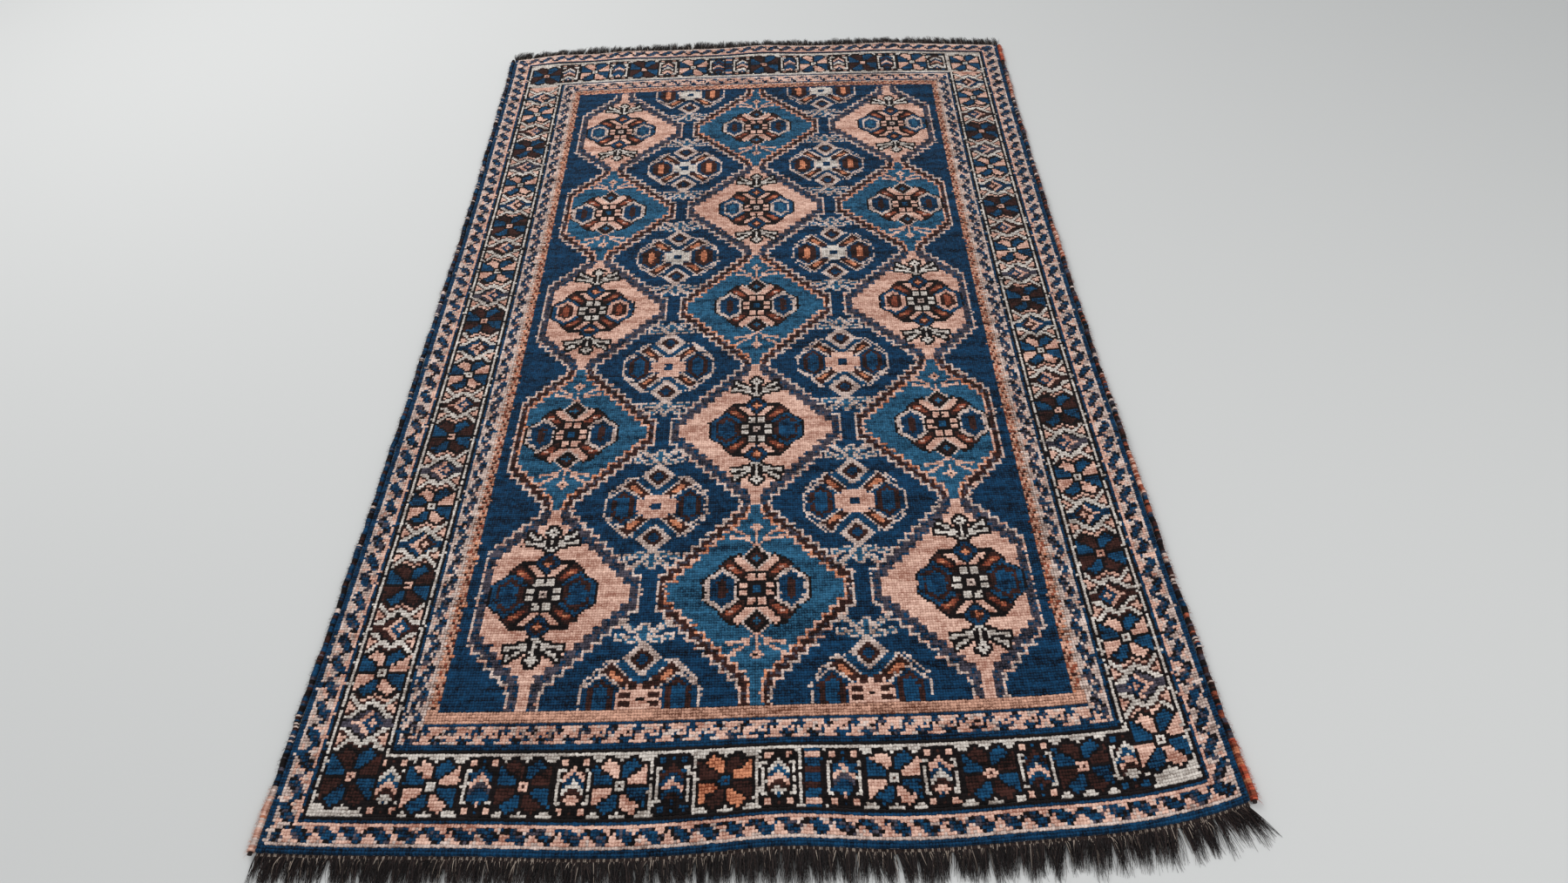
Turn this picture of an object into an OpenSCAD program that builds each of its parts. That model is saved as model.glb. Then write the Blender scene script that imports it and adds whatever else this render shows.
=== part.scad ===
/* [Pile] */
// Number of knots across the rug
knots_across = 308; // [290:2:326]
// Number of knot rows along the rug
rows_along = 484; // [460:2:508]
// Width of one knot
knot_w = 4; // [3.6:0.1:4.4]
// Length of one knot along the warp
knot_h = 4.3; // [3.9:0.1:4.7]
// Height of the cut pile above the ground weave
pile_h = 6; // [4:0.5:8]

/* [Ground weave] */
// Thickness of the warps and wefts together
ground_h = 2.6; // [2:0.2:3.6]
// Width of the plain woven band that closes each end
end_weave_l = 6; // [4:1:12]

/* [Borders] */
// Outer guard border on the long sides, in knots
guard_side = 12; // [10:1:14]
// Main border on the long sides, in knots
main_side = 21; // [18:1:24]
// Inner guard border on the long sides, in knots
inner_side = 9; // [7:1:11]
// Inner stripe on the long sides, in knots
stripe_side = 4; // [3:1:6]
// Outer guard border at the near end, in knots
guard_near = 11; // [9:1:13]
// Main border at the near end, in knots
main_near = 21; // [18:1:24]
// Inner guard border at the near end, in knots
inner_near = 9; // [7:1:11]
// Plain inner stripe at the near end, in knots
stripe_near = 4; // [3:1:6]
// Outer guard border at the far end, in knots
guard_far = 10; // [8:1:12]
// Main border at the far end, in knots
main_far = 25; // [22:1:28]
// Inner guard border at the far end, in knots
inner_far = 9; // [7:1:11]
// Inner stripe at the far end, in knots
stripe_far = 6; // [4:1:8]

/* [Outline] */
// How far each long side is drawn in at the middle of its length
waist_in = 16; // [0:2:24]
// How far the near left corner lies behind the middle of the near edge
near_left_back = 14; // [0:2:24]
// How far the near right corner lies behind the middle of the near edge
near_right_back = 44; // [0:2:56]
// How far both far corners lie in front of the middle of the far edge
far_back = 30; // [0:2:44]

/* [Edges] */
// Radius of the bundled warps inside each selvage
core_r = 2.9; // [2.2:0.1:3.1]
// Outer radius of the overcast wool on each selvage
wrap_r = 4.4; // [4:0.1:4.8]
// Outer radius of the corner bindings
binding_r = 5; // [4.9:0.1:5.1]
// Length of each corner binding
binding_l = 85; // [50:5:120]
// Longest warp ends in the near fringe
fringe_near_l = 48; // [30:2:70]
// Longest warp ends in the far fringe
fringe_far_l = 34; // [20:2:60]
// Thickness of both fringes
fringe_h = 1.6; // [1:0.2:2.2]
// Number of tufts in each fringe, an odd number so that one lies on the centre line
tufts = 81; // [61:4:81]

/* [Hidden] */

navy = [0.06, 0.16, 0.30];
salmon = [0.82, 0.58, 0.48];
ivory = [0.82, 0.80, 0.75];
rust = [0.74, 0.36, 0.24];
dark_wool = [0.16, 0.12, 0.10];
beige_wool = [0.72, 0.66, 0.56];

// Straight pieces that each short and each long edge is drawn with
short_steps = 24;
long_steps = 36;
// Clearance between separate pieces that lie side by side
piece_gap = 0.3;
// Clearance between the pile and the weave under it, and round each selvage core
thin_gap = 0.1;

pile_w = knots_across * knot_w;
pile_l = rows_along * knot_h;
pile_z = ground_h + thin_gap;
selvage_z = binding_r + thin_gap;
fringe_z = 0.4;

// The near edge of the pile, placed so that the rug with its fringes is centred along Y
start_y = (fringe_near_l - fringe_far_l - pile_l) / 2;

// Borders from the rug's edge inwards, each as [side, near end, far end] in mm
function inset(side, near, far) = [side * knot_w, near * knot_h, far * knot_h];
edge = inset(0, 0, 0);
guard = inset(guard_side, guard_near, guard_far);
main = guard + inset(main_side, main_near, main_far);
inner = main + inset(inner_side, inner_near, inner_far);
stripe = inner + inset(stripe_side, stripe_near, stripe_far);

// Where a point of the flat rectangular layout lies on the rug. The rug is narrower at its
// middle, and its corners are drawn back from the middle of each end.
side_power = 3;
corner_power = 5;
function near_back(u) =
    u < 0 ? near_left_back * pow(-u, side_power) : near_right_back * pow(u, corner_power);
function far_forward(u) = far_back * pow(abs(u), side_power);
function place(x, y) =
    let (u = 2 * x / pile_w, v = y / pile_l)
    [
        x - u * waist_in * 4 * v * (1 - v),
        start_y + y + near_back(u) * (1 - v) - far_forward(u) * v
    ];

// Equal steps from a towards b, without b itself
function steps(a, b, count) = [for (i = [0 : count - 1]) a + (b - a) * i / count];

function panel(x0, y0, x1, y1) = [
    for (x = steps(x0, x1, short_steps)) place(x, y0),
    for (y = steps(y0, y1, long_steps)) place(x1, y),
    for (x = steps(x1, x0, short_steps)) place(x, y1),
    for (y = steps(y1, y0, long_steps)) place(x0, y)
];

// The panel left inside an inset, made smaller all round by a clearance
function inside(i, clear) = panel(
    i[0] + clear - pile_w / 2, i[1] + clear, pile_w / 2 - i[0] - clear, pile_l - i[2] - clear
);

// A closed band of pile between two insets
module pile_ring(outer, hole) {
    translate([0, 0, pile_z]) linear_extrude(pile_h) difference() {
        polygon(inside(outer, thin_gap));
        polygon(inside(hole, -thin_gap));
    }
}

// A straight band of pile, kept clear of its neighbours
module pile_band(x0, y0, x1, y1) {
    translate([0, 0, pile_z]) linear_extrude(pile_h)
        polygon(panel(x0 + thin_gap, y0 + thin_gap, x1 - thin_gap, y1 - thin_gap));
}

// Each selvage is a tube that follows the drawn-in long side of the pile. It is swept through
// rings of points from one share of the side's length to another.
tube_sides = 12;
long_rings = 25;
short_rings = 5;
function side_point(hand, share) =
    let (p = place(hand * pile_w / 2, share * pile_l)) [p[0] + hand * (piece_gap + binding_r), p[1]];
function ring(hand, share, r) =
    let (c = side_point(hand, share))
    [for (i = [0 : tube_sides - 1]) let (a = (i + 0.5) * 360 / tube_sides)
        [c[0] + r * cos(a), c[1], selvage_z + r * sin(a)]];
function rings_between(hand, from, to, r, rings) = [
    for (k = [0 : rings - 1]) each ring(hand, from + (to - from) * k / (rings - 1), r)
];
function ring_index(k, i) = k * tube_sides + i % tube_sides;
// Two triangles for each patch of a tube's wall, facing outwards
function wall_faces(first, rings, flip) = [
    for (k = [0 : rings - 2], i = [0 : tube_sides - 1])
        let (
            a = first + ring_index(k, i), b = first + ring_index(k, i + 1),
            c = first + ring_index(k + 1, i + 1), d = first + ring_index(k + 1, i)
        )
        each flip ? [[a, c, b], [a, d, c]] : [[a, b, c], [a, c, d]]
];

module solid_tube(hand, from, to, r, rings) {
    near_cap = [for (i = [tube_sides - 1 : -1 : 0]) i];
    far_cap = [for (i = [0 : tube_sides - 1]) ring_index(rings - 1, i)];
    polyhedron(
        rings_between(hand, from, to, r, rings),
        concat(wall_faces(0, rings, false), [near_cap, far_cap])
    );
}

// The bore's points follow the outer wall's points, so its faces start at the index bore
module hollow_tube(hand, from, to, r, bore_r, rings) {
    bore = ring_index(rings, 0);
    near_rim = [for (i = [0 : tube_sides - 1])
        [ring_index(0, i + 1), i, bore + i, bore + ring_index(0, i + 1)]];
    far_rim = [for (i = [0 : tube_sides - 1])
        [ring_index(rings - 1, i), ring_index(rings - 1, i + 1),
            bore + ring_index(rings - 1, i + 1), bore + ring_index(rings - 1, i)]];
    polyhedron(
        concat(rings_between(hand, from, to, r, rings), rings_between(hand, from, to, bore_r, rings)),
        concat(wall_faces(0, rings, false), wall_faces(bore, rings, true), near_rim, far_rim)
    );
}

wrap_bore = core_r + piece_gap;
binding_share = binding_l / pile_l;
gap_share = piece_gap / pile_l;

// The line of one end of the pile, moved outwards by some distance
function end_point(s, y_root, out) =
    let (p = place((s - 0.5) * pile_w, y_root)) [p[0], p[1] + out];
function end_line(y_root, out) = [for (i = [0 : short_steps]) end_point(i / short_steps, y_root, out)];
function reversed(list) = [for (i = [len(list) - 1 : -1 : 0]) list[i]];

module end_band(y_root, side) {
    linear_extrude(ground_h) polygon(concat(
        end_line(y_root, side * piece_gap),
        reversed(end_line(y_root, side * (end_weave_l - piece_gap)))
    ));
}

// Free warp ends in tapering tufts of uneven length, the longest on the centre line
notch_share = 0.35;
shortest_share = 0.7;
uneven_turn = 137.5;
function tuft_share(i) = (1 + shortest_share + (1 - shortest_share) * cos(i * uneven_turn)) / 2;
function tuft_line(y_root, side, l) = [
    for (k = [0 : 2 * tufts])
        let (reach = k % 2 == 0 ? notch_share : tuft_share((k - tufts) / 2))
        end_point(k / (2 * tufts), y_root, side * (end_weave_l + l * reach))
];

module fringe(y_root, side, l) {
    translate([0, 0, fringe_z]) linear_extrude(fringe_h) polygon(concat(
        end_line(y_root, side * end_weave_l),
        reversed(tuft_line(y_root, side, l))
    ));
}

module ground_weave() { color(beige_wool) linear_extrude(ground_h) polygon(inside(edge, 0)); }
module pile_field() { color(navy) pile_band(
    stripe[0] - pile_w / 2, stripe[1], pile_w / 2 - stripe[0], pile_l - stripe[2]); }
module pile_inner_stripe() { color(rust) pile_ring(inner, stripe); }
module pile_inner_guard() { color(salmon) pile_ring(main, inner); }
module pile_outer_guard() { color(salmon) pile_ring(edge, guard); }

// The long sides of the main border run between its two ends
module pile_main_border_right() { color(salmon) pile_band(
    pile_w / 2 - main[0], main[1], pile_w / 2 - guard[0], pile_l - main[2]); }
module pile_main_border_left() { color(salmon) pile_band(
    guard[0] - pile_w / 2, main[1], main[0] - pile_w / 2, pile_l - main[2]); }
module pile_main_border_near() { color(ivory) pile_band(
    guard[0] - pile_w / 2, guard[1], pile_w / 2 - guard[0], main[1]); }
module pile_main_border_far() { color(ivory) pile_band(
    guard[0] - pile_w / 2, pile_l - main[2], pile_w / 2 - guard[0], pile_l - guard[2]); }

module selvage_core_left() { color(dark_wool) solid_tube(-1, 0, 1, core_r, long_rings); }
module selvage_core_right() { color(dark_wool) solid_tube(1, 0, 1, core_r, long_rings); }
module selvage_wrap_left() { color(navy)
    hollow_tube(-1, binding_share + gap_share, 1, wrap_r, wrap_bore, long_rings); }
module selvage_wrap_right() { color(navy)
    hollow_tube(1, binding_share + gap_share, 1 - binding_share - gap_share, wrap_r, wrap_bore,
        long_rings); }
module corner_binding_near_left() { color(rust)
    hollow_tube(-1, 0, binding_share, binding_r, wrap_bore, short_rings); }
module corner_binding_near_right() { color(rust)
    hollow_tube(1, 0, binding_share, binding_r, wrap_bore, short_rings); }
module corner_binding_far_right() { color(rust)
    hollow_tube(1, 1 - binding_share, 1, binding_r, wrap_bore, short_rings); }

module end_weave_near() { color(beige_wool) end_band(0, -1); }
module end_weave_far() { color(beige_wool) end_band(pile_l, 1); }
module fringe_near() { color(dark_wool) fringe(0, -1, fringe_near_l); }
module fringe_far() { color(dark_wool) fringe(pile_l, 1, fringe_far_l); }

ground_weave();
pile_field();
pile_inner_stripe();
pile_inner_guard();
pile_main_border_left();
pile_main_border_right();
pile_main_border_near();
pile_main_border_far();
pile_outer_guard();
selvage_core_left();
selvage_core_right();
selvage_wrap_left();
selvage_wrap_right();
corner_binding_near_left();
corner_binding_near_right();
corner_binding_far_right();
end_weave_near();
end_weave_far();
fringe_near();
fringe_far();
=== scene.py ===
"""A hand-knotted village rug: cut wool pile tied knot by knot from a chart, over a woven ground, with
overcast selvages, bound corners and loose warp fringes. Lengths are in metres unless a name says knots."""

import math

import bpy
import numpy as np
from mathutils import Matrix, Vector


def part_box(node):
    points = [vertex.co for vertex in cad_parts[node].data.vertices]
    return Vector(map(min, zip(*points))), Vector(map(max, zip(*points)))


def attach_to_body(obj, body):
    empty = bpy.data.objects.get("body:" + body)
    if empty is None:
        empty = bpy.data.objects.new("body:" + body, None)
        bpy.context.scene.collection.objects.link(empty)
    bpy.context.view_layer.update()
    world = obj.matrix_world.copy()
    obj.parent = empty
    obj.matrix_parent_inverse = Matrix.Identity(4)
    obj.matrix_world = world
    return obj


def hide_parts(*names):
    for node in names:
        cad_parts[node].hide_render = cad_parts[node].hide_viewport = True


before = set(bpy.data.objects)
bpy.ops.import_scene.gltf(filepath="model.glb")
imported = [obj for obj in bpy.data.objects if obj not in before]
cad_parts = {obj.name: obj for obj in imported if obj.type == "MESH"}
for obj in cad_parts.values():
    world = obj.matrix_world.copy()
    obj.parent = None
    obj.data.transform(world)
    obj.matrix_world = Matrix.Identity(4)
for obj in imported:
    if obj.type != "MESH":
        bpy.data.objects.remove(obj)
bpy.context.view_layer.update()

# ---- layout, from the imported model
KNOTS_ACROSS = 308
ROWS_ALONG = 484
WEAVE_LOW, WEAVE_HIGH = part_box("ground_weave")
PILE_W = WEAVE_HIGH.x - WEAVE_LOW.x
PILE_L = WEAVE_HIGH.y - WEAVE_LOW.y
START_Y = WEAVE_LOW.y
KNOT_W = PILE_W / KNOTS_ACROSS
KNOT_H = PILE_L / ROWS_ALONG

# ---- chart: which yarn each knot is tied in
# The darkest and lightest shade of each yarn, as 0-255 screen values
YARN_SHADES = {
    "navy": ((0, 1, 8), (18, 70, 108)),
    "blue": ((0, 24, 42), (54, 114, 150)),
    "salmon": ((148, 97, 80), (252, 210, 190)),
    "pink": ((112, 90, 82), (244, 220, 208)),
    "ivory": ((126, 114, 106), (244, 234, 224)),
    "black": ((1, 0, 1), (30, 22, 22)),
    "brown": ((6, 2, 1), (74, 42, 36)),
    "rust": ((62, 20, 12), (178, 96, 70)),
    "plum": ((10, 10, 18), (94, 88, 100)),
    "orange": ((116, 54, 32), (242, 162, 122)),
    "scarlet": ((84, 24, 14), (232, 112, 80)),
    "indigo": ((0, 10, 26), (26, 84, 124)),
    "apricot": ((88, 48, 32), (244, 188, 162)),
}
YARN_COUNT = len(YARN_SHADES)
NAVY, BLUE, SALMON, PINK, IVORY, BLACK, BROWN, RUST, PLUM = range(9)
ORANGE, SCARLET, INDIGO, APRICOT = range(9, YARN_COUNT)

# Where each part of the borders starts, in knots in from the edge, as (long sides, near end, far end)
EDGE = (0, 0, 0)
PALE_LINE = (2, 2, 0)
VINE = (3, 3, 1)
VINE_END = (9, 8, 7)
NAVY_LINE = (10, 9, 8)
BLACK_LINE = (11, 10, 9)
MAIN = (12, 11, 10)
CORNERS = (13, 11, 10)
MAIN_END = (33, 31, 35)
MAIN_INNER = (33, 32, 35)
INNER_NAVY_LINE = (34, 32, 35)
INNER_GUARD = (35, 34, 36)
HOOKS = (36, 34, 37)
HOOKS_END = (41, 40, 43)
STRIPE_LINE = (42, 40, 43)
STRIPE = (42, 41, 44)
STRIPE_END = (46, 45, 49)
INNER_GUARD_END = (42, 41, 43)
FIELD = (46, 45, 50)
PLAIN_STRIPE_ROWS = 4

# The parts of the main border that hold motifs, as (left, right, near, far)
NEAR_AREA = (13, KNOTS_ACROSS - 13, 11, 31)
FAR_AREA = (13, KNOTS_ACROSS - 13, ROWS_ALONG - 34, ROWS_ALONG - 10)
LEFT_AREA = (14, 31, 31, ROWS_ALONG - 33)
RIGHT_AREA = (KNOTS_ACROSS - 31, KNOTS_ACROSS - 14, 31, ROWS_ALONG - 33)
SIDE_LINES = (13, 31)

# The medallions stand in three columns and five rows, with small motifs between them
MEDALLION_COLUMNS = (74, 154, 234)
MEDALLION_ROWS = (89, 165.5, 241, 316.5, 392)
SMALL_COLUMNS = (114, 194)
SMALL_ROWS = (127.5, 203, 278.5, 354)
NEAR_HALF_ROW = 48.5

# A medallion's half width, how far its sides run straight, its steps, its neck and where the field cuts it
MEDALLION_HALF_W = 37
MEDALLION_FLAT = 7.5
STEP = 3
NECK_HALF = 6.2
SIDE_CUT = 3.5

# Repeats along the borders, and the middle lines and half sizes of the main border's motifs, in knots
RUNNING_DOG = 8.5
MEANDER = 9
SIDE_PITCH = 35.75
SIDE_ROSETTES = 11
SIDE_COLUMN = 22.5
LEFT_FIRST_ROW = 59
RIGHT_FIRST_ROW = 62
NEAR_MIDDLE = 20.5
NEAR_HALF_H = 9.9
FAR_MIDDLE = ROWS_ALONG - 22.5
FAR_HALF_H = 11.4
URN_HALF_W = 6.1
END_ROSETTE_HALF_W = 9.6
SIDE_ROSETTE_HALF = (9.2, 9.8)
CORNER_ROSETTE_HALF = (9.4, 10.8)

# Of all knots, how many are tied in their neighbour's yarn
MISTIED = 0.13

chart = np.full((ROWS_ALONG, KNOTS_ACROSS), NAVY, np.int8)
chance = np.random.default_rng(7)


def window(inset):
    """Columns and rows inside an inset: left, right, near, far."""
    side, near, far = inset
    return side, KNOTS_ACROSS - side, near, ROWS_ALONG - far


def mottle(knots, where, *yarns):
    """Tie some knots in a random mixture of yarns, as the yarns of a faded border look together."""
    mixed = np.array(yarns)[chance.integers(0, len(yarns), knots.shape)]
    where = np.broadcast_to(where, knots.shape)
    knots[where] = mixed[where]


# The numbers in each motif's function are knots from the motif's middle, and slopes of its outlines.
class Motif:
    """A window of the chart with its own coordinates: x across and y towards the far end, in knots from
    the motif's middle. Nothing is painted outside the area (left, right, near, far)."""

    def __init__(self, area, column, row, half_w, half_h):
        left, right, near, far = area
        left = max(left, math.floor(column - half_w))
        right = min(right, math.ceil(column + half_w))
        near = max(near, math.floor(row - half_h))
        far = min(far, math.ceil(row + half_h))
        self.knots = chart[near:far, left:right]
        self.column = np.arange(left, right)[None, :] + 0.5
        self.x = self.column - column
        self.y = np.arange(near, far)[:, None] + 0.5 - row
        self.ax, self.ay = abs(self.x), abs(self.y)

    def paint(self, where, yarn):
        self.knots[np.broadcast_to(where, self.knots.shape)] = yarn

    def stripes(self, where, number, yarns):
        """Stripes inside a shape: the whole part of a point's number picks its yarn, over and over."""
        number = np.floor(number).astype(int) % len(yarns)
        for i, yarn in enumerate(yarns):
            self.paint(where & (number == i), yarn)

    def oblong(self, x, y, half_w, half_h, yarn):
        """A rectangle, repeated in all four quarters if x and y aren't zero."""
        self.paint((abs(self.ax - x) < half_w) & (abs(self.ay - y) < half_h), yarn)

    def diamond(self, y, half_w, half_h, yarn):
        """A diamond on the motif's own axis, above and below its middle."""
        self.paint(self.ax / half_w + abs(self.ay - y) / half_h < 1, yarn)

    def lens(self, x, half_w, half_h, yarn):
        """An upright pointed octagon to the left and right of the middle."""
        out = abs(self.ax - x)
        self.paint((out < half_w) & (self.ay + 0.75 * out < half_h), yarn)

    def bar(self, low, high, start, reach, yarn):
        """A slanting bar in each quarter: its offsets from the slant, its start and how far out it ends."""
        slant = self.ay - 0.95 * self.ax
        self.paint((slant > low) & (slant < high) & (self.ay > start) & (self.ax + self.ay < reach), yarn)


def shrink(mask, knots):
    """The mask without its outermost knots."""
    for _ in range(knots):
        padded = np.pad(mask, 1, mode="edge")
        rows, columns = mask.shape
        for i in range(3):
            for j in range(3):
                mask = mask & padded[i:i + rows, j:j + columns]
    return mask


def medallion(column, row, salmon):
    """A stepped lozenge whose neck runs on to the next one, cut straight where it meets the field's side."""
    m = Motif(window(FIELD), column, row, 42, 44)
    half = MEDALLION_HALF_W - STEP * np.ceil(np.maximum(m.ay - MEDALLION_FLAT, 0) / STEP)
    left, right = window(FIELD)[:2]
    in_field = (m.column > left + SIDE_CUT) & (m.column < right - SIDE_CUT)
    inside = (m.ax < np.maximum(half, NECK_HALF)) & in_field
    pitch_half = (MEDALLION_ROWS[1] - MEDALLION_ROWS[0]) / 2
    last = (row == MEDALLION_ROWS[0]) * (m.y < 0) | (row == MEDALLION_ROWS[-1]) * (m.y > 0)
    shown = (m.ay < pitch_half) | last
    mottle(m.knots, inside & shown, PINK, PINK, PINK, SALMON)
    rim = (PLUM, NAVY, PLUM, PLUM) if salmon else (BROWN, PLUM, BROWN, BROWN)
    mottle(m.knots, shrink(inside, 1) & shown, *rim)
    if not salmon:
        mottle(m.knots, shrink(inside, 3) & shown, ORANGE, SALMON, SALMON)
    m.paint(shrink(inside, 4) & shown, SALMON if salmon else BLUE)
    medallion_figure(column, row, salmon)


def medallion_figure(column, row, salmon):
    """Two eyes and four crossing bars round a block of cells, with a diamond and a sprig at both ends."""
    m = Motif(window(FIELD), math.floor(column) + 0.5, math.floor(row) + 0.5, 22, 30)
    far = row > MEDALLION_ROWS[2]
    m.paint((m.ax > 4) & (m.ax < 10) & (abs(m.ay - 13.6) < 0.6), BLACK)
    m.bar(-4.2, 4.6, 3.5, 24.6, BLACK)
    if not salmon:
        m.bar(3.2, 9.0, 5.5, 22.5, BLACK)
        m.bar(4.0, 8.0, 6.3, 21.5, SALMON)
    m.bar(-3.2, 3.2, 4.3, 23.4, BROWN)
    m.bar(-1.5, 1.5, 6.5, 21.5, RUST)
    m.bar(-0.6, 0.6, 8.0, 20.0, ORANGE if salmon else SALMON)
    m.lens(12.8, 7.4, 10.0, BLACK)
    if salmon:
        middle = row == MEDALLION_ROWS[2]
        rings = (PINK, INDIGO, BLUE) if far else (SALMON, BROWN, RUST) if middle else (BROWN, INDIGO, NAVY)
        m.lens(12.8, 6.6, 9.2, INDIGO)
        for half_w, half_h, yarn in zip((4.9, 3.2, 1.6), (7.4, 5.6, 3.8), rings):
            m.lens(12.8, half_w, half_h, yarn)
    else:
        m.lens(12.8, 6.6, 9.2, PINK)
        m.lens(12.8, 4.7, 7.2, NAVY)
        m.lens(12.8, 1.4, 4.6, BROWN)
    m.paint((m.ax < 7.6) & (m.ay < 3.6) | (m.ax < 4.2) & (m.ay < 7.2), BLACK)
    cell = IVORY if salmon and not far else SALMON
    m.oblong(2.0, 4.7, 1.3, 1.6, cell)
    m.oblong(5.0, 1.6, 1.8, 1.2, cell)
    m.paint((m.ax < 1.6) & (m.ay < 1.9), PINK if salmon else INDIGO)
    m.paint((m.ax < 0.6) & (m.ay < 0.9), BROWN if salmon else BLUE)
    m.diamond(13.2, 5.9, 5.9, BLACK if salmon else PINK)
    m.diamond(13.2, 5.1, 5.1, NAVY if salmon else BLACK)
    m.diamond(13.2, 3.1, 3.1, BROWN)
    m.diamond(13.2, 1.8, 1.8, ORANGE if salmon else BLUE)
    sprig(m, IVORY if salmon else SALMON, salmon)


def sprig(m, yarn, outlined):
    """A bud on a forked stem between two leaves of two fingers each, above and below a motif."""
    up = m.ay - np.where(m.y > 0, 18.5, 17.5)
    stem = (m.ax < 0.6) & (up > -0.5) & (up < 7)
    fork = (abs(m.ax - 0.9 * up - 0.8) < 0.75) & (up > 0) & (up < 3.6)
    upper = (abs(up - 2.2 - 0.62 * m.ax) < 0.8) & (m.ax > 2.5) & (m.ax < 9.5)
    lower = (abs(up - 2.4 - 0.16 * m.ax) < 0.8) & (m.ax > 3.5) & (m.ax < 10.5)
    bud = (m.ax < 2.4) & (m.ax + abs(up - 8.4) < 2.9)
    shape = stem | fork | upper | lower | bud
    if outlined:
        m.paint(~shrink(~shape, 1) & (m.ay > 17), BLACK)
    m.paint(shape, yarn)
    m.paint((m.ax < 0.6) & (abs(up - 8.4) < 0.6), BLACK)


def small_motif(column, row, first, far):
    """The octagon between four medallions, with leaf sprigs at both ends. The first row's is a half, whose
    centre is a block of dark oblongs."""
    m = Motif(window(FIELD), column, row, 21, 31)
    ring = (m.ax < 20.5) & (m.ay < 15) & (m.ax + m.ay < 27)
    m.paint(ring & ~shrink(ring, 1) & ((m.column + m.y) % 3 > 0.9), PINK)
    m.bar(3.0, 9.0, 5.5, 22.5, NAVY if far else INDIGO)
    m.bar(-4.4, 4.4, 4.0, 25.0, PINK)
    m.bar(-3.2, 3.2, 4.0, 24.0, BROWN)
    m.bar(-1.1, 1.1, 6.5, 21.0, ORANGE)
    m.lens(13.4, 7.4, 10.0, PINK)
    m.lens(13.4, 6.2, 8.7, NAVY)
    m.lens(13.4, 4.5, 7.2, BROWN)
    m.lens(13.4, 1.9 if far else 2.9, 4.4 if far else 5.6, ORANGE if far else INDIGO)
    wide = 5.8 if far else 7.6
    block = (m.ax < wide) & (m.ay < 3.5) | (m.ax < wide - 2.4) & (m.ay < 6.0)
    m.paint(block, IVORY if far else SALMON)
    if first:
        m.oblong(2.4, 5.0, 1.4, 1.3, BROWN)
        m.oblong(5.2, 1.9, 2.2, 0.9, BROWN)
        m.paint((m.ax < 0.6) & (m.ay < 0.6), BLACK)
    else:
        m.paint((m.ax < 1.7) & (m.ay < 1.7), NAVY)
    m.diamond(14.8, 7.2, 7.2, PINK)
    m.diamond(14.8, 4.6, 4.6, BROWN)
    m.diamond(14.8, 2.4, 2.4, NAVY)
    leaves(m)


def leaves(m):
    """Five hollow leaves outlined in pale yarn, fanning from a stem above and below a motif."""
    up = m.ay - 20.5
    heart = (m.ax < 1.6) & (up > 0) & (up < 8.4) & (m.ax < 9.5 - up)
    upper = (abs(up - 2.6 - 0.62 * m.ax) < 1.7) & (m.ax > 1.6) & (m.ax < 9.5)
    lower = (abs(up - 1.2 - 0.12 * m.ax) < 1.5) & (m.ax > 2.4) & (m.ax < 11.5)
    for shape in (lower, upper, heart):
        m.paint(shape, BLUE)
        m.paint(shape & ~shrink(shape, 1) & ((m.column + m.ay) % 4 > 0.9), PINK)
    m.paint((m.ax < 0.6) & (up > -2.5) & (up < 1.5), PINK)


def field():
    left, right, near, far = window(FIELD)
    chart[near:far, left:right] = NAVY
    pitch = SMALL_ROWS[1] - SMALL_ROWS[0]
    for i, row in enumerate((NEAR_HALF_ROW, *SMALL_ROWS, SMALL_ROWS[-1] + pitch)):
        for column in SMALL_COLUMNS:
            small_motif(column, row, first=i == 0, far=i > 2)
    for i, row in enumerate(MEDALLION_ROWS):
        for j, column in enumerate(MEDALLION_COLUMNS):
            medallion(column, row, salmon=(i + j) % 2 == 0)


def fill(inset, yarn):
    """All knots inside an inset."""
    left, right, near, far = window(inset)
    chart[near:far, left:right] = yarn


def band(outer, inner):
    """The knots inside an inset, how far in and how far along its side each one lies, which of them lie in
    the band between the two insets, and which of those lie at the ends."""
    left, right, near, far = window(outer)
    rows, columns = np.mgrid[near:far, left:right]
    from_sides = np.minimum(columns - left, right - 1 - columns)
    from_ends = np.minimum(rows - near, far - 1 - rows)
    side_w = inner[0] - outer[0]
    on_side = from_sides < side_w
    end_w = np.where(rows < ROWS_ALONG / 2, inner[1] - outer[1], inner[2] - outer[2])
    on_end = (from_ends < end_w) & (from_ends <= from_sides)
    deep = np.where(on_end, from_ends, from_sides)
    along = np.where(on_end, columns, rows)
    return chart[near:far, left:right], deep, along, on_side | on_end, on_end


def running_dog(outer, inner):
    """Salmon triangles that point in and out by turns, parted by slanting leaves on a dark vine."""
    knots, deep, along, inside, on_end = band(outer, inner)
    phase = (along + 0.5) % RUNNING_DOG
    falling = phase < 5.8
    vine = np.where(falling, 5.0 - 0.72 * phase, 1.1 + (phase - 5.8) * 1.6)
    thick = np.where(falling & (phase > 0.5), 2.3, 1.2)
    leaf = inside & (abs(deep + 0.5 - vine) < thick)
    mottle(knots, inside & on_end, SALMON, SALMON, SALMON, SALMON, PINK)
    mottle(knots, inside & ~on_end, SALMON, PINK, PINK)
    mottle(knots, leaf, NAVY, BLACK, BLACK, NAVY, PLUM)
    middle = leaf & (phase > 1) & (phase < 5) & (abs(deep + 0.5 - vine) < 1.2)
    mottle(knots, middle, INDIGO, NAVY, NAVY, PLUM)


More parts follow.
